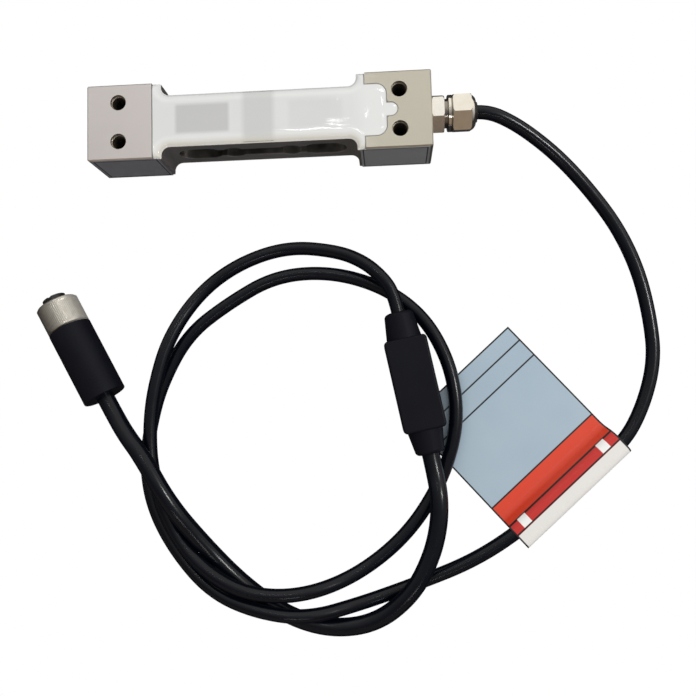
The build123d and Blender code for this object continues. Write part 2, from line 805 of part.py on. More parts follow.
# Route of the thin sensor cable, from the gland to the converter, as points chosen by hand.
# It goes round the outer loop twice, through the flag label and over itself on the left.
collar_out = [converter_point[i] - sensor_reach * converter_dir[i] for i in range(3)]
before_collar = [collar_out[i] - straight_end * converter_dir[i] for i in range(3)]
collar_in = [converter_point[i] + connector_reach * converter_dir[i] for i in range(3)]
after_collar = [collar_in[i] + straight_end * converter_dir[i] for i in range(3)]
before_connector = [connector_point[i] - straight_end * connector_dir[i] for i in range(3)]
sensor_route = [
    (cable_start, 0, gland_height), (91.5, 0, gland_height), (100, -4, 13), (107.5, -10.5, 10),
    (115, -17.5, 6.8), (123, -25.5, 4.2), (135.5, -43, 2.6), (143, -61.5, 2.6), (146, -79, 2.6),
    (146.5, -95, 2.6), (141, -112.5, 2.6), (132.5, -126.5, 3), (111.5, -142.5, 3), (93, -157.5, 3),
    (75, -168.5, 2.6), (53.5, -176.5, 2.6), (32.5, -183.5, 2.6), (12.5, -187, 10), (-7, -184, 10),
    (-24, -177.5, 5.2), (-37.5, -163.5, 2.6), (-46.5, -147, 2.6), (-49.5, -130, 2.6),
    (-47.5, -114.5, 2.6), (-43, -98.5, 2.6), (-32.5, -79.5, 2.6), (-16, -67.5, 2.6),
    (2.5, -57.5, 2.6), (24, -56.5, 2.6), (44.5, -63, 2.6), (59.8, -75, 2.6), (68.5, -91.5, 2.8),
    (71.5, -108, 3.6), (70, -123.5, 3.6), (62.8, -141.8, 2.6), (49.9, -159.3, 2.6), (31.5, -173, 2.6),
    (12.5, -178.5, 10.2), (-6.5, -178, 10.4), (-21.5, -172, 10), (-34.5, -160, 8.6),
    (-41.5, -145, 8.5), (-45.5, -130, 8.5), (-46, -114.5, 8.6), (-44, -99.5, 8.8), (-38.5, -80.5, 7.8),
    (-27, -62.5, 3), (-11, -51.5, 2.6), (8, -46, 2.6), (27, -48.8, 4.5), (37.5, -53.9, 7.6),
    (44.6, -60.5, 8.8), tuple(before_collar), tuple(collar_out),
]

# Route of the thicker connector cable, from the converter to the round connector
connector_route = [
    tuple(collar_in), tuple(after_collar), (63.2, -143.5, 10.5), (62.6, -154, 10.4), (59.4, -165.5, 10),
    (52.3, -178.5, 9.5), (38.5, -190, 5.4), (21, -192.5, 3.4), (4, -187, 3.4), (-12, -175.5, 3.4),
    (-25.5, -160.5, 6.6), (-37, -143.5, 14.9), (-47, -125.5, 15.1), (-54.2, -117.6, 11.5),
    tuple(before_connector), connector_point,
]


def corner_radii(points):
    """The largest arc that each corner's two runs allow."""
    radii = []
    for before, corner, after in zip(points, points[1:], points[2:]):
        run_in = Vector(*corner) - Vector(*before)
        run_out = Vector(*after) - Vector(*corner)
        half_turn = radians(run_in.get_angle(run_out)) / 2
        radii.append(0.45 * min(run_in.length, run_out.length) / tan(half_turn))
    return radii


for name, points, diameter in (
    ("sensor_cable", sensor_route, sensor_cable_diameter),
    ("connector_cable", connector_route, connector_cable_diameter),
):
    radii = corner_radii(points)
    with BuildPart() as cable:
        with BuildLine() as route:
            FilletPolyline(*points, radius=radii)
        with BuildSketch(Plane(origin=route.line @ 0, z_dir=route.line % 0)):
            Circle(diameter / 2)
        sweep()
    save(cable.part, name)
    length = sum(edge.length for edge in route.line.edges())
    section = 3.14159265 * diameter**2 / 4
    print(name, "radii", [round(radius) for radius in radii])
    print(name, "length", round(length, 1), "volume ratio", round(cable.part.volume / section / length, 4))
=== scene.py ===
# Single point strain gauge load cell on its cable: the looks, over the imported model.
# Metres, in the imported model's own frame: origin under the middle of the beam, +X towards
# the cable gland, +Z up.
import math

import bpy
from mathutils import Euler, Matrix, Vector, noise


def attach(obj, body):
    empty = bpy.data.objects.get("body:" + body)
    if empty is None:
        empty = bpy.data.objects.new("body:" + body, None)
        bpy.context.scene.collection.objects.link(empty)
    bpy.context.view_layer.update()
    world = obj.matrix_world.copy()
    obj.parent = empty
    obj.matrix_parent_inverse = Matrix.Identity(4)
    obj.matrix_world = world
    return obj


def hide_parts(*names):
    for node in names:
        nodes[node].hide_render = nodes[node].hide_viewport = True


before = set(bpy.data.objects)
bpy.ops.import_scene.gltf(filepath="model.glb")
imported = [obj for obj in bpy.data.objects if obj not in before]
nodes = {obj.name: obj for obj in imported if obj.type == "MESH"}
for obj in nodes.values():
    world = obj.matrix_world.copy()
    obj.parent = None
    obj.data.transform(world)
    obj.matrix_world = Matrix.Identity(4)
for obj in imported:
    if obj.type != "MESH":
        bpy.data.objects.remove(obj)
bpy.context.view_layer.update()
scene = bpy.context.scene
scene.view_settings.view_transform = "Standard"

# Camera: about 0.3 m above the middle of the layout and looking almost straight down, as the
# photograph does, so the beam shows a little of its front side.
camera_data = bpy.data.cameras.new("camera")
camera_data.lens = 39.17
camera_data.sensor_width = 36.0
camera_turn = [math.radians(angle) for angle in (4.393, 3.3405, -1.5357)]
camera = bpy.data.objects.new("camera", camera_data)
camera.location = (0.04685, -0.10955, 0.29467)
camera.rotation_euler = Euler(camera_turn, "XYZ")
scene.collection.objects.link(camera)
scene.camera = camera

# Beam: one milled bar of light alloy with a satin finish. Fine cutter marks run along its
# length, broken by faint clouding. The gland end is slightly yellower and is painted darker as
# shade, and the walls of the window are painted darker and mottled as shade inside the window.
beam_level = 0.011  # half of the beam's height
yellow_shaded_end_from = 0.03
window_half_length, window_half_depth, window_half_height = 0.0335, 0.0097, 0.0056


class Signal:
    """A socket of a material's nodes that takes part in plain arithmetic."""

    def __init__(self, tree, socket):
        self.tree = tree
        self.socket = socket

    def maths(self, operation, *values):
        node = self.tree.nodes.new("ShaderNodeMath")
        node.operation = operation
        for slot, value in zip(node.inputs, values):
            if isinstance(value, Signal):
                self.tree.links.new(value.socket, slot)
            else:
                slot.default_value = value
        return Signal(self.tree, node.outputs[0])

    def __add__(self, other):
        return self.maths("ADD", self, other)

    def __radd__(self, other):
        return self.maths("ADD", other, self)

    def __sub__(self, other):
        return self.maths("SUBTRACT", self, other)

    def __rsub__(self, other):
        return self.maths("SUBTRACT", other, self)

    def __mul__(self, other):
        return self.maths("MULTIPLY", self, other)

    def __rmul__(self, other):
        return self.maths("MULTIPLY", other, self)

    def __abs__(self):
        return self.maths("ABSOLUTE", self)

    def over(self, level, soft=0.0):
        """1 where the value is above a level, with an edge that is soft metres wide."""
        if soft == 0:
            return self.maths("GREATER_THAN", self, level)
        ramp = self.maths("MULTIPLY_ADD", self, 1 / soft, 0.5 - level / soft)
        return ramp.maths("MINIMUM", ramp.maths("MAXIMUM", ramp, 0), 1)

    def under(self, level, soft=0.0):
        return 1 - self.over(level, soft)

    def near(self, middle, reach, soft=0.0):
        """1 where the value lies within a reach of a middle."""
        return abs(self - middle).under(reach, soft)


class NodeWork:
    """The nodes of a material or of the world, with the one call that adds a node."""

    def __init__(self, tree):
        self.tree = tree

    def node(self, kind, settings=None, inputs=None, output=0):
        made = self.tree.nodes.new("ShaderNode" + kind)
        for key, value in (settings or {}).items():
            if key == "stops":
                stops = made.color_ramp.elements
                for place, colour in value:
                    stops.new(place).color = colour
                stops.remove(stops[0])
                stops.remove(stops[-1])
            else:
                setattr(made, key, value)
        for key, value in (inputs or {}).items():
            if isinstance(value, Signal):
                self.tree.links.new(value.socket, made.inputs[key])
            else:
                made.inputs[key].default_value = value
        return Signal(self.tree, made.outputs[output])

    def axes(self, vector):
        split = self.node("SeparateXYZ", {}, {"Vector": vector}).socket.node
        return [Signal(self.tree, socket) for socket in split.outputs]

    def feed(self, socket, signal, to="Principled BSDF"):
        self.tree.links.new(signal.socket, self.tree.nodes[to].inputs[socket])


class Finish(NodeWork):
    """One material: the usual surface shader and what is fed to it."""

    def __init__(self, name, colour=None, metallic=0.0, roughness=0.5, specular=0.5):
        self.material = bpy.data.materials.new(name)
        self.material.use_nodes = True
        super().__init__(self.material.node_tree)
        self.shader = self.tree.nodes["Principled BSDF"]
        self.shader.inputs["Metallic"].default_value = metallic
        self.shader.inputs["Roughness"].default_value = roughness
        self.shader.inputs["Specular IOR Level"].default_value = specular
        if colour:
            self.shader.inputs["Base Color"].default_value = (*tint(colour), 1)

    def place(self, location=(0, 0, 0), turn=(0, 0, 0), scale=(1, 1, 1)):
        """Object coordinates measured from a point and along turned axes of the object."""
        here = self.node("TexCoord", output="Object")
        return self.node(
            "Mapping",
            {"vector_type": "TEXTURE"},
            {"Vector": here, "Location": location, "Rotation": turn, "Scale": scale},
        )

    def cloud(self, scale, detail, vector=None):
        """Soft noise between 0 and 1, over the whole piece unless a vector is given."""
        inputs = {"Vector": vector or self.place(), "Scale": scale, "Detail": detail}
        return self.node("TexNoise", {}, inputs, "Fac")

    def mix(self, mask, below, above):
        """Two colours, each a 0 to 255 triple or a signal, mixed by a mask."""
        below, above = (
            colour if isinstance(colour, Signal) else (*tint(colour), 1)
            for colour in (below, above)
        )
        return self.node("Mix", {"data_type": "RGBA"}, {0: mask, 6: below, 7: above}, 2)

    def bump(self, height, distance, strength):
        inputs = {"Height": height, "Distance": distance, "Strength": strength}
        self.feed("Normal", self.node("Bump", {}, inputs, "Normal"))

    def dress(self, piece):
        piece.data.materials.clear()
        piece.data.materials.append(self.material)


def tint(colour):
    """A colour as it is seen, 0 to 255, in the linear values that a shader takes."""
    return [(c / 255 / 12.92) if c <= 10 else ((c / 255 + 0.055) / 1.055) ** 2.4 for c in colour]


beam_finish = Finish("milled_metal", metallic=1.0)
beam_place = beam_finish.place()
beam_x, beam_y, beam_z = beam_finish.axes(beam_place)
beam_marks = beam_finish.cloud(900, 3, beam_finish.place(scale=(14, 1, 1)))
beam_cloud = beam_finish.cloud(28, 3, beam_place)
cast_left = beam_finish.mix(beam_cloud, (233, 227, 226), (242, 236, 235))
# Painted shade: the gland end's metal is slightly yellower and is also painted darker.
yellow_shaded_end_colour = beam_finish.mix(beam_cloud, (199, 194, 180), (207, 202, 188))
beam_colour = beam_finish.mix(beam_x.over(yellow_shaded_end_from, 0.03), cast_left, yellow_shaded_end_colour)
# Painted shade: the walls inside the window are painted darker and mottled, as shade in the
# recess.
window = beam_x.near(0, window_half_length) * beam_y.near(0, window_half_depth, 0.0005)
window = window * beam_z.near(beam_level, window_half_height, 0.0002)
window_shade_cloud = beam_finish.cloud(160, 1, beam_finish.place(scale=(1, 1, 3))).over(0.5, 0.3)
window_shade_colour = beam_finish.mix(window_shade_cloud, (98, 94, 90), (148, 144, 139))
beam_finish.feed("Base Color", beam_finish.mix(window, beam_colour, window_shade_colour))
beam_finish.feed("Roughness", beam_marks * 0.14 + (beam_cloud * 0.12 + 0.26))
beam_finish.bump(beam_marks, 0.00002, 0.5)
beam_finish.dress(nodes["load_cell_body"])

# Threads: an M6 thread of 1 mm pitch cut through both end blocks at each mounting hole. One
# ridge is wound up a hole with the screw modifier and copied into the other three.
thread_pitch, thread_turns, thread_steps = 0.001, 20, 28
thread_profile = ((0.00302, 0.0004), (0.0025, 0.0009), (0.00302, 0.0014))
hole_along, hole_across = 0.053, 0.0075
hole_places = [(x, y) for x in (-hole_along, hole_along) for y in (-hole_across, hole_across)]
thread_finish = Finish("tapped_metal", metallic=1.0)
thread_colour = thread_finish.mix(thread_finish.cloud(500, 2), (138, 130, 116), (170, 162, 148))
thread_finish.feed("Base Color", thread_colour)
thread_finish.feed("Roughness", thread_finish.cloud(900, 2) * 0.2 + 0.34)
bpy.ops.object.select_all(action="DESELECT")
bpy.ops.mesh.primitive_circle_add(vertices=3, radius=thread_pitch / 2, location=(0, 0, 0))
ridge = bpy.context.object
for vertex, (radius, height) in zip(ridge.data.vertices, thread_profile):
    vertex.co = (radius, 0, height)
winding = ridge.modifiers.new("winding", "SCREW")
winding.screw_offset = thread_pitch
winding.iterations = thread_turns
winding.steps = winding.render_steps = thread_steps
bpy.ops.object.modifier_apply(modifier="winding")
bpy.ops.object.mode_set(mode="EDIT")
bpy.ops.mesh.select_all(action="SELECT")
bpy.ops.mesh.remove_doubles(threshold=0.000001)
bpy.ops.mesh.select_all(action="DESELECT")
bpy.ops.mesh.select_non_manifold()
bpy.ops.mesh.fill_holes(sides=3)
bpy.ops.mesh.select_all(action="SELECT")
bpy.ops.mesh.normals_make_consistent(inside=False)
bpy.ops.object.mode_set(mode="OBJECT")
for number, (x, y) in enumerate(hole_places, 1):
    thread = ridge
    if number < len(hole_places):
        thread = bpy.data.objects.new("thread", ridge.data.copy())
        scene.collection.objects.link(thread)
    thread.name = f"hole_thread_{number}"
    thread.data.transform(Matrix.Translation((x, y, 0)))
    thread_finish.dress(thread)
    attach(thread, "load_cell")

# Strain gauges: metal foil on an amber film, glued over the four thin webs of the beam. The
# foil is etched into fine lines that run along the beam.
line_wave = 4000  # radians of the line pattern in a metre
gauge_finish = Finish("amber_film", roughness=0.35)
gauge_y = gauge_finish.axes(gauge_finish.place())[1]
gauge_lines = gauge_y.maths("SINE", gauge_y * line_wave).over(0.2, 0.4)
gauge_finish.feed("Base Color", gauge_finish.mix(gauge_lines, (196, 146, 66), (120, 92, 50)))
for name in ("top_strain_gauges", "bottom_strain_gauges"):
    gauge_finish.dress(nodes[name])

# Gauge covers: soft grey pads cut from rubber sheet, one laid over each gauge before the
# silicone is poured on them.
cover_finish = Finish("grey_pad", roughness=0.7)
cover_colour = cover_finish.mix(cover_finish.cloud(400, 3), (140, 140, 140), (160, 160, 160))
cover_finish.feed("Base Color", cover_colour)
for name in ("top_gauge_covers", "bottom_gauge_covers"):
    cover_finish.dress(nodes[name])

# Bridge board and its resistors: a small glass fibre board under green solder mask, glued
# across the middle of the waist, with black resistors soldered to it.
board_finish = Finish("green_mask", roughness=0.3)
board_colour = board_finish.mix(board_finish.cloud(700, 1), (22, 76, 40), (34, 96, 54))
board_finish.feed("Base Color", board_colour)
board_finish.dress(nodes["bridge_board"])
chip_finish = Finish("black_chip")
chip_colour = chip_finish.mix(chip_finish.cloud(900, 2), (20, 20, 20), (34, 34, 34))
chip_finish.feed("Base Color", chip_colour)
chip_finish.dress(nodes["bridge_resistors"])

# Wires: stranded copper in thin plastic insulation, red on the beam's front half and cream on
# its back half. Four run from the cable to the board, and two come up from the lower gauges.
wire_finish = Finish("wire_insulation", roughness=0.4)
wire_y = wire_finish.axes(wire_finish.place())[1]
wire_finish.feed("Base Color", wire_finish.mix(wire_y.over(0), (190, 60, 44), (214, 204, 180)))
for name in ("conductors", "gauge_wires"):
    wire_finish.dress(nodes[name])

# Potting: white silicone cast over the gauges on both faces. It rolls over at the edges of the
# waist, is drawn up a little where it meets a wall, and shows what it covers as grey patches.
beam_height, block_side = 0.022, 0.0145
fillet_x, fillet_y, fillet_radius = 0.0338, 0.0132, 0.0032  # between the waist and a block
cast_end, far_inside = 0.0402, 0.01
pocket_x, pocket_y, pocket_radius = 0.0444, 0.00605, 0.004
lobe_x, lobe_radius = 0.04975, 0.00275
grain, skin_level, skin_depth = 0.00032, 0.0206, 0.001
roll_depth, roll_width = 0.0013, 0.0034
climb_height, climb_width = 0.0002, 0.0007
crown_height, crown_side, crown_end, crown_fade = 0.00022, 0.01, 0.04, 0.01
bead_height, bead_place, bead_width = 0.00013, 0.0038, 0.0021
wave_height, waves = 0.00008, 130
silicone = Finish("white_silicone")
pot_x, pot_y = silicone.axes(silicone.place())[:2]
pot_wall = silicone.node("Attribute", {"attribute_name": "wall"}, output="Fac")
pot_edge = silicone.node("Attribute", {"attribute_name": "edge"}, output="Fac")
pot_cloud = silicone.cloud(60, 3)
left_patch = pot_x.near(-0.021, 0.0101, 0.0014) * pot_y.near(0, 0.0055, 0.0014)
right_patch = pot_x.near(0.02175, 0.0101, 0.0018) * pot_y.near(0, 0.0052, 0.0018)
front_lip_shade = pot_edge.under(0.0018, 0.0018) * pot_y.under(0, 0.002)
pot_colour = silicone.mix(pot_cloud, (211, 212, 212), (219, 220, 220))
for mask, shade in (
    (pot_edge.near(0.0026, 0.0009, 0.0012) * 0.42, (230, 230, 229)),  # painted highlight along the bead at the edge
    (pot_x.over(0.038, 0.006) * 0.7, (224, 225, 224)),  # deep in the pocket
    (pot_x.near(0.0002, 0.0058, 0.0022) * 0.66, (190, 191, 190)),  # board under it
    (left_patch * 0.72 + right_patch * 0.2, (180, 180, 181)),  # covers under it
    # painted shade on the front roll-over of the silicone
    (front_lip_shade * 0.6, (214, 209, 196)),
    (pot_wall.under(0.00034, 0.0004) * 0.85, (92, 90, 86)),  # painted shade in the crease along the metal
):
    pot_colour = silicone.mix(mask, pot_colour, shade)
silicone.feed("Base Color", pot_colour)
silicone.feed("Roughness", pot_cloud * 0.04 + 0.05)
silicone.bump(silicone.cloud(140, 2), 0.0002, 0.15)


def edge_reach(x, y):
    """How far a place lies inside the beam's outline, seen from above."""
    x, y = abs(x), abs(y)
    if x < fillet_x:
        waist = fillet_y - fillet_radius - y
    elif y > fillet_y:
        waist = x - fillet_x - fillet_radius
    else:
        waist = math.hypot(x - fillet_x, y - fillet_y) - fillet_radius
    return min(waist, block_side - y)


def wall_reach(x, y, pocket):
    """How far a place lies from the wall that the silicone runs up to."""
    if x < 0 or not pocket:
        return cast_end - abs(x)
    across = abs(y)
    past_x, past_y = x - pocket_x, across - pocket_y
    corner = math.hypot(max(past_x, 0), max(past_y, 0)) + min(max(past_x, past_y), 0)
    lobe = lobe_radius - math.hypot(max(x - lobe_x, 0), across)
    return max(cast_end - x, pocket_radius - corner, lobe)


def held(value):
    """A share, held between 0 and 1."""
    return max(0, min(1, value))


for name, source, top in (
    ("top_silicone", "top_potting", True), ("bottom_silicone", "bottom_potting", False),
):
    cast = bpy.data.objects.new(name, nodes[source].data.copy())
    scene.collection.objects.link(cast)
    bpy.ops.object.select_all(action="DESELECT")
    cast.select_set(True)
    bpy.context.view_layer.objects.active = cast
    bpy.ops.object.mode_set(mode="EDIT")
    bpy.ops.mesh.select_all(action="SELECT")
    bpy.ops.mesh.remove_doubles(threshold=0.000005)
    bpy.ops.object.mode_set(mode="OBJECT")
    cast.data.remesh_voxel_size = grain
    bpy.ops.object.voxel_remesh()
    soft = cast.modifiers.new("soft", "SMOOTH")
    soft.factor = 0.5
    soft.iterations = 6
    bpy.ops.object.modifier_apply(modifier="soft")
    wall_values, edge_values = [], []
    for vertex in cast.data.vertices:
        x, y, z = vertex.co
        height = z if top else beam_height - z
        reach, wall = edge_reach(x, y), wall_reach(x, y, top)
        wall_values.append(wall)
        edge_values.append(reach if abs(x) < cast_end else far_inside)
        lift = held((height - skin_level) / skin_depth)
        if lift > 0:
            rolled = held(edge_values[-1] / roll_width)
            change = -roll_depth * (1 - math.sqrt(1 - (1 - rolled) ** 2))
            change += climb_height * math.exp(-max(wall, 0) / climb_width)
            crown = max(0, 1 - (y / crown_side) ** 2) * held((crown_end - abs(x)) / crown_fade)
            change += crown_height * crown
            change += bead_height * math.exp(-(((reach - bead_place) / bead_width) ** 2) / 2)
            change += wave_height * noise.noise(Vector((x, y, 0.3)) * waves)
            vertex.co.z += lift * change * (1 if top else -1)
        vertex.co.z = max(vertex.co.z, 0)
    for label, values in (("wall", wall_values), ("edge", edge_values)):
        cast.data.attributes.new(label, "FLOAT", "POINT").data.foreach_set("value", values)
    for polygon in cast.data.polygons:
        polygon.use_smooth = True
    silicone.dress(cast)
    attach(cast, "load_cell")
    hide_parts(source)

# Side labels: bare silver film stuck on the front of both end blocks, with a thin dark frame
# printed just inside its edge.
label_middle, frame_half_length, frame_half_height, frame_line = 0.051, 0.0122, 0.0094, 0.0004
print_edge = 0.0002
label_finish = Finish("silver_film", metallic=0.85)
label_cloud = label_finish.cloud(220, 3)
label_x, _, label_z = label_finish.axes(label_finish.place())
label_colour = label_finish.mix(label_cloud, (190, 190, 198), (212, 212, 221))
# The right label is painted lighter than the left, as painted light.
label_colour = label_finish.mix(label_x.over(0, 0.002) * 0.6, label_colour, (248, 248, 248))
outer, inner = (
    abs(label_x).near(label_middle, frame_half_length - line, print_edge)
    * label_z.near(beam_level, frame_half_height - line, print_edge)
    for line in (0, frame_line)
)
label_colour = label_finish.mix(outer * (1 - inner), label_colour, (52, 52, 56))
label_finish.feed("Base Color", label_colour)
label_finish.feed("Roughness", label_cloud * 0.1 + 0.33)
for name in ("left_side_label", "right_side_label"):
    label_finish.dress(nodes[name])

# Cable gland: body and cap nut of turned and milled brass with bright nickel plating, screwed
# into the end of the beam. A claw of black nylon presses a black rubber seal on the cable.
hexagon_end = 0.0696
plating = Finish("bright_nickel", metallic=1.0)
plating_cloud = plating.cloud(300, 3)
gland_x = plating.axes(plating.place())[0]
plating_colour = plating.mix(plating_cloud, (230, 224, 212), (245, 240, 229))
# The body's hexagon is painted brighter than the cap nut, as painted light.
hexagon = gland_x.under(hexagon_end, 0.0001)
plating_colour = plating.mix(hexagon, plating_colour, (255, 252, 243))
# Painted shade: the recessed neck between the hexagons and a thin line on the collar are painted
# dark.
neck_shade = gland_x.near(0.07035, 0.0008, 0.0002) + gland_x.near(0.0724, 0.0003, 0.0002)
plating.feed("Base Color", plating.mix(neck_shade * 0.75, plating_colour, (104, 96, 88)))
plating.feed("Roughness", plating_cloud * 0.14 + 0.12)
plating.bump(plating.cloud(1200, 2), 0.00002, 0.5)
for name in ("gland_body", "gland_cap_nut"):
    plating.dress(nodes[name])
rubber = Finish("black_rubber", (22, 22, 22))
rubber.feed("Roughness", rubber.cloud(500, 2) * 0.2 + 0.5)
for name in ("gland_o_ring", "gland_seal"):
    rubber.dress(nodes[name])
claw_finish = Finish("black_nylon", (30, 30, 31))
claw_finish.feed("Roughness", claw_finish.cloud(500, 2) * 0.2 + 0.4)
claw_finish.dress(nodes["gland_claw"])

# Sensor cable: a 5.2 mm black jacketed cable, 0.93 m long, laid round the loop twice from the
# gland to the converter. Smooth glossy jacket with a faint waviness from its stranded cores.
jacket = Finish("black_jacket", specular=0.3)
jacket_place = jacket.place()
jacket_wave = jacket.cloud(90, 3, jacket_place)
jacket.feed("Base Color", jacket.mix(jacket_wave, (2, 5, 12), (7, 10, 20)))
jacket.feed("Roughness", jacket.cloud(260, 2, jacket_place) * 0.1 + 0.19)
jacket.bump(jacket.cloud(150, 2, jacket_place), 0.0004, 0.16)


def lay_cable(name, points, diameter):
    """A smooth round cable along its route's points, all in millimetres."""
    line = bpy.data.curves.new(name, "CURVE")
    line.dimensions = "3D"
    spline = line.splines.new("NURBS")
    spline.points.add(len(points) - 1)
    for point, (x, y, z) in zip(spline.points, points):
        point.co = (x / 1000, y / 1000, z / 1000, 1)
    spline.order_u = 3
    spline.use_endpoint_u = True
    spline.resolution_u = 12
    line.bevel_depth = diameter / 2000
    line.bevel_resolution = 8
    line.use_fill_caps = True
    piece = bpy.data.objects.new(name, line)
    scene.collection.objects.link(piece)
    return piece


converter_middle = Vector((55.5, -101.6, 8.0))
converter_turn = math.radians(-78.9)
converter_way = Vector((math.cos(converter_turn), math.sin(converter_turn), 0))
collar_out_reach, collar_in_reach, straight_run = 28.0, 26.5, 7.4
collar_out = converter_middle - collar_out_reach * converter_way
collar_in = converter_middle + collar_in_reach * converter_way
sensor_route = [
    (82, 0, 14.5), (86.4, 0, 14.4), (94.5, -3.1, 12.6), (104, -8.5, 9.2), (115, -17.2, 5.8),
    (126, -29.6, 3.4), (135.5, -43.8, 2.6), (142.2, -60.5, 2.6), (145.5, -78.5, 2.6),
    (146.3, -95, 2.6), (141, -112.5, 2.6), (132.5, -126.5, 3), (111.5, -142.5, 3),
    (93, -157.5, 3), (75, -168.5, 2.6), (53.5, -176.5, 2.6), (32.5, -183.5, 2.6),
    (12.5, -187, 10), (-7, -183.8, 10), (-24, -177.5, 5.2), (-37.5, -163.5, 2.6),
    (-46.5, -147, 2.6), (-49.5, -130, 2.6), (-47.5, -114.5, 2.6), (-43, -98.5, 2.6),
    (-32.5, -79.5, 2.6), (-16, -67.5, 2.6), (2.5, -57.5, 2.6), (24, -56.5, 2.6),
    (44.5, -63, 2.6), (59.8, -75, 2.6), (68.5, -91.5, 2.8), (71.5, -108, 3.6),
    (70, -123.5, 3.6), (62.8, -141.8, 2.6), (49.9, -159.3, 2.6), (31.5, -173, 2.6),
    (12.5, -178.5, 10.2), (-6.5, -178.3, 10.6), (-20.9, -171.3, 12), (-34.4, -160, 7.4),
    (-41.5, -145, 8.5), (-45.5, -130, 8.5), (-46, -114.5, 8.6), (-44, -99.5, 8.8),
    (-38.5, -80.5, 7.8), (-27, -62.5, 3), (-11, -51.5, 2.6), (8, -46, 2.6), (27, -48.8, 4.5),
    (37.5, -53.9, 7.6), (44.6, -60.5, 8.8), tuple(collar_out - straight_run * converter_way),
    tuple(collar_out),
]
sensor_cable = lay_cable("sensor_lead", sensor_route, 5.2)
jacket.dress(sensor_cable)
jacket.dress(nodes["cable_stub"])
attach(sensor_cable, "load_cell")
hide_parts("sensor_cable")

# Flag label: printed film folded round the cable, its two leaves stuck together. A pale blue
# grey field with a red band beside the fold, thin black rules and a black border.
fold_corner, fold_turn = (0.0919, -0.1594, 0), math.radians(131.6)
tag_length, tag_depth, tag_border = 0.053, 0.059, 0.0006
spine_depth, dark_red_depth, red_depth = 0.0002, 0.0047, 0.0132
rule_places = (0.0444, 0.0522, dark_red_depth, red_depth, tag_border)
rule_half_width, square_half_width = 0.0003, 0.0019
square_out, square_places = 0.0028, (0.0062, 0.0464)
tag_finish = Finish("printed_film")
tag_out, tag_along = tag_finish.axes(tag_finish.place(fold_corner, (0, 0, fold_turn)))[:2]
tag_along = tag_along * -1
inside = tag_along.over(tag_border, print_edge)
inside = inside * tag_along.under(tag_length - tag_border, print_edge)
inside = inside * tag_out.under(tag_depth - tag_border, print_edge)
rules = sum(tag_out.near(rule, rule_half_width, print_edge) for rule in rule_places)
squares = sum(tag_along.near(place, square_half_width, print_edge) for place in square_places)
squares = squares * tag_out.near(square_out, square_half_width, print_edge)
tag_colour = tag_finish.mix(tag_finish.cloud(45, 2), (154, 174, 189), (167, 185, 198))
for mask, ink in (
    (tag_out.under(red_depth, print_edge), (214, 62, 34)),
    (tag_out.under(dark_red_depth, print_edge), (192, 36, 30)),
    (rules.maths("MINIMUM", rules, 1), (20, 20, 22)),
    (squares, (236, 236, 234)),
    (tag_out.under(spine_depth, print_edge), (222, 220, 216)),
):
    tag_colour = tag_finish.mix(mask, tag_colour, ink)
tag_finish.feed("Base Color", tag_finish.mix(inside, (18, 18, 20), tag_colour))
tag_finish.feed("Roughness", tag_finish.cloud(120, 2) * 0.12 + 0.26)
tag_finish.dress(nodes["cable_tag"])

# Converter: a small circuit moulded into a soft black box, with a tapered collar round the
# cable at both ends. Fine grain from the mould.
moulding_finish = Finish("black_moulding", specular=0.12)
moulding_grain = moulding_finish.cloud(1500, 2)
moulding_cloud = moulding_finish.cloud(70, 2)
moulding_colour = moulding_finish.mix(moulding_cloud, (11, 12, 19), (17, 18, 27))
moulding_finish.feed("Base Color", moulding_colour)
moulding_finish.feed("Roughness", moulding_grain * 0.12 + 0.42)
moulding_finish.bump(moulding_grain, 0.00004, 0.5)
moulding_finish.dress(nodes["inline_housing"])
board_finish.dress(nodes["converter_board"])
chip_finish.dress(nodes["converter_chips"])

# Coupling nut of the round connector: nickel plated die casting with a fine straight knurl
# between two plain rims. A ring is drawn out along the connector's axis, and every second
# corner of the knurled band is pulled in.
connector_rear = Vector((-63.5, -102.9, 8.2))
connector_turn = math.radians(117.7)
connector_way = Vector((math.cos(connector_turn), math.sin(connector_turn), 0))
nut_corners, nut_start = 144, 30.15
nut_rings = (
    (0.0, 4.7), (0.0, 7.6), (0.5, 8.1), (1.2, 8.1), (1.4, 8.1), (9.7, 8.1), (9.9, 8.1),
    (10.7, 8.1), (11.2, 7.6), (11.2, 5.45), (1.9, 5.45), (1.9, 4.7), (0.0, 4.7),
)
knurl_start, knurl_end, knurl_inside, groove_share = 0.0013, 0.0098, 0.008, 0.993
nut_finish = Finish("satin_nickel")
nut_cloud = nut_finish.cloud(700, 3)
nut_place = nut_finish.place(connector_rear / 1000, (0, 0, connector_turn - math.pi / 2))
nut_across = nut_finish.axes(nut_place)[0]
nut_finish.feed("Base Color", nut_finish.mix(nut_cloud, (184, 179, 169), (214, 210, 201)))
# Painted light: the right side is made half as metallic so it shows brighter, and that side
# turns with the nut.
nut_finish.feed("Metallic", 1 - nut_across.over(0.004, 0.006) * 0.5)
nut_finish.feed("Roughness", nut_cloud * 0.1 + 0.27)
nut_finish.bump(nut_finish.cloud(1600, 2), 0.00003, 0.5)
bpy.ops.object.select_all(action="DESELECT")
bpy.ops.mesh.primitive_circle_add(vertices=nut_corners, radius=nut_rings[0][1] / 1000)
nut = bpy.context.object
nut.name = "knurled_nut"
bpy.ops.object.mode_set(mode="EDIT")
bpy.ops.mesh.select_all(action="SELECT")
for (start, start_radius), (stop, stop_radius) in zip(nut_rings, nut_rings[1:]):
    grow = stop_radius / start_radius
    step = (0, 0, (stop - start) / 1000)
    bpy.ops.mesh.extrude_region_move(TRANSFORM_OT_translate={"value": step})
    bpy.ops.transform.resize(value=(grow, grow, 1), center_override=(0, 0, stop / 1000))
bpy.ops.mesh.select_all(action="SELECT")
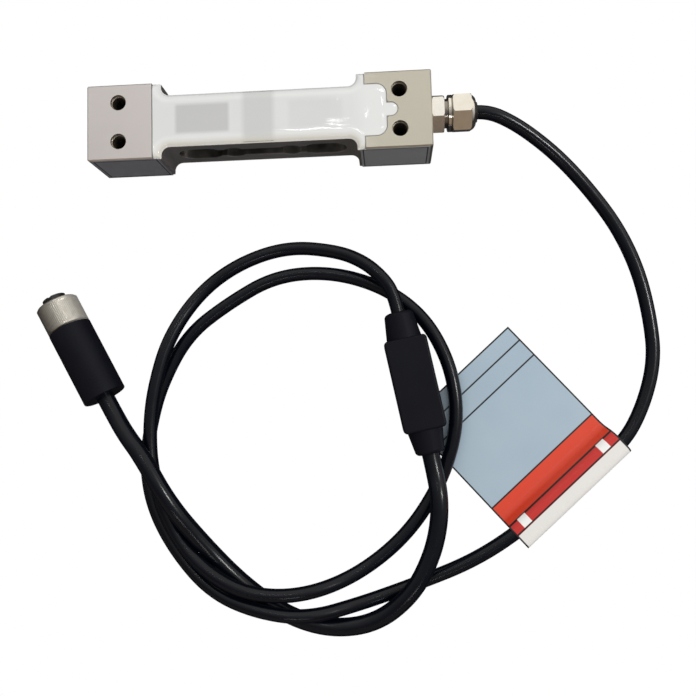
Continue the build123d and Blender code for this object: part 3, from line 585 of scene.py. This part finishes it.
bpy.ops.mesh.remove_doubles(threshold=0.000005)
bpy.ops.mesh.normals_make_consistent(inside=False)
bpy.ops.object.mode_set(mode="OBJECT")
for vertex in nut.data.vertices:
    x, y, z = vertex.co
    corner = round(math.atan2(y, x) / (2 * math.pi) * nut_corners)
    if knurl_start < z < knurl_end and math.hypot(x, y) > knurl_inside and corner % 2:
        vertex.co.x, vertex.co.y = x * groove_share, y * groove_share
turn = Vector((0, 0, 1)).rotation_difference(connector_way).to_matrix().to_4x4()
shift = Matrix.Translation((connector_rear + nut_start * connector_way) / 1000)
nut.data.transform(shift @ turn)
nut_finish.dress(nut)
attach(nut, "coupling_nut")
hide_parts("coupling_nut")

# Contact carrier, sockets and moulded body of the connector: a hard black plastic carrier with
# four gold plated sockets pressed into it, a black rubber ring, and the same soft moulding
# over the cable's end as the converter's.
carrier_finish = Finish("hard_black", (26, 26, 27))
carrier_finish.feed("Roughness", carrier_finish.cloud(700, 2) * 0.15 + 0.32)
carrier_finish.dress(nodes["contact_carrier"])
gold = Finish("gold_plate", (212, 172, 92), metallic=1.0)
gold.feed("Roughness", gold.cloud(900, 2) * 0.15 + 0.15)
gold.dress(nodes["contact_sockets"])
moulding_finish.dress(nodes["connector_moulding"])
rubber.dress(nodes["connector_o_ring"])

# Connector cable: a thicker 6.7 mm cable, 0.22 m long, from the converter to the round
# connector. It lies over the sensor cable's loops on the left.
connector_route = [
    tuple(collar_in), tuple(collar_in + straight_run * converter_way), (63.2, -143.5, 10.5),
    (62.6, -154, 10.4), (59.4, -165.5, 10), (52.3, -178.5, 9.5), (38.5, -190, 5.4),
    (21, -192.5, 3.4), (4, -187, 3.4), (-12, -175.5, 3.4), (-25.5, -160.5, 6.8),
    (-37, -143.5, 14.9), (-47, -125.5, 15.1), (-54.2, -117.6, 11.5),
    tuple(connector_rear - straight_run * connector_way), tuple(connector_rear),
]
connector_cable = lay_cable("connector_lead", connector_route, 6.7)
jacket.dress(connector_cable)
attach(connector_cable, "load_cell")
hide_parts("connector_cable")

# Surface that the load cell lies on: a wide pale table that fades into the white backdrop.
# It is seen as white and lights the parts as a plain pale surface does, and polished parts
# mirror it as the grey of a workshop bench.
white = (1, 1, 1, 1)
bpy.ops.mesh.primitive_plane_add(size=6.0, location=(0.05, -0.1, 0))
table_top = bpy.context.object
table_top.name = "table_top"
table_finish = Finish("pale_table", (226, 226, 226), roughness=0.9, specular=0.1)
table_look = Signal(table_finish.tree, table_finish.shader.outputs[0])
table_mirrored = table_finish.node("Emission", {}, {"Color": (0.034, 0.033, 0.034, 1)})
table_seen = table_finish.node("Emission", {}, {"Color": white})
for ray, look in (("Is Glossy Ray", table_mirrored), ("Is Camera Ray", table_seen)):
    chosen = table_finish.node("LightPath", output=ray)
    table_look = table_finish.node("MixShader", {}, {0: chosen, 1: table_look, 2: look})
table_finish.feed("Surface", table_look, "Material Output")
table_finish.dress(table_top)

# Studio: a soft ceiling that is brightest overhead and falls off towards the horizon. What the
# polished parts mirror is a window behind them and a dim room in front, and small lamps put the
# thin highlights on the cables and the silicone.
ceiling_stops = ((0.05, (0.22, 0.215, 0.21, 1)), (0.95, (0.92, 0.91, 0.89, 1)))
room_stops = (
    (0.12, (0.25, 0.195, 0.145, 1)), (0.3, (0.1, 0.09, 0.082, 1)),
    (0.5, (0.34, 0.33, 0.315, 1)), (0.61, (0.52, 0.51, 0.49, 1)),
    (0.67, (0.5, 0.49, 0.465, 1)), (0.77, (0.92, 0.9, 0.86, 1)),
)
window_way = (0.13, 0.44, 0.0)
lamp_aim = Vector((0.03, -0.08, 0))
world = bpy.data.worlds.new("studio")
scene.world = world
world.use_nodes = True
studio = NodeWork(world.node_tree)
heading = studio.node("TexCoord", output="Generated")
ceiling = studio.node("ValToRGB", {"stops": ceiling_stops}, {"Fac": studio.axes(heading)[2]})
dome = studio.tree.nodes["Background"]
dome.inputs["Strength"].default_value = 1.17
studio.feed("Color", ceiling, "Background")
to_window = {0: heading, 1: window_way}
towards = studio.node("VectorMath", {"operation": "DOT_PRODUCT"}, to_window, "Value")
room = studio.node("ValToRGB", {"stops": room_stops}, {"Fac": towards + 0.5})
studio_look = Signal(studio.tree, dome.outputs[0])
room_mirrored = studio.node("Background", {}, {"Color": room, "Strength": 1.1})
backdrop = studio.node("Background", {}, {"Color": white, "Strength": 1.0})
for ray, look in (("Is Glossy Ray", room_mirrored), ("Is Camera Ray", backdrop)):
    chosen = studio.node("LightPath", output=ray)
    studio_look = studio.node("MixShader", {}, {0: chosen, 1: studio_look, 2: look})
studio.feed("Surface", studio_look, "World Output")
for name, place, size, length, power in (
    ("right_box", (0.75, 0.08, 0.88), 0.06, 0.06, 3.6),
    ("front_box", (0.1, -0.75, 0.9), 0.06, 0.3, 0.5),
    ("tube", (-0.05, 0.3, 0.97), 0.025, 0.11, 0.16),
    ("bulb", (-0.005, 0.385, 0.944), 0.022, 0.022, 0.03),
):
    lamp_data = bpy.data.lights.new(name, "AREA")
    lamp_data.shape = "RECTANGLE"
    lamp_data.size = length
    lamp_data.size_y = size
    lamp_data.energy = power
    lamp = bpy.data.objects.new(name, lamp_data)
    lamp.location = place
    lamp.rotation_euler = (lamp_aim - Vector(place)).to_track_quat("-Z", "Y").to_euler()
    scene.collection.objects.link(lamp)
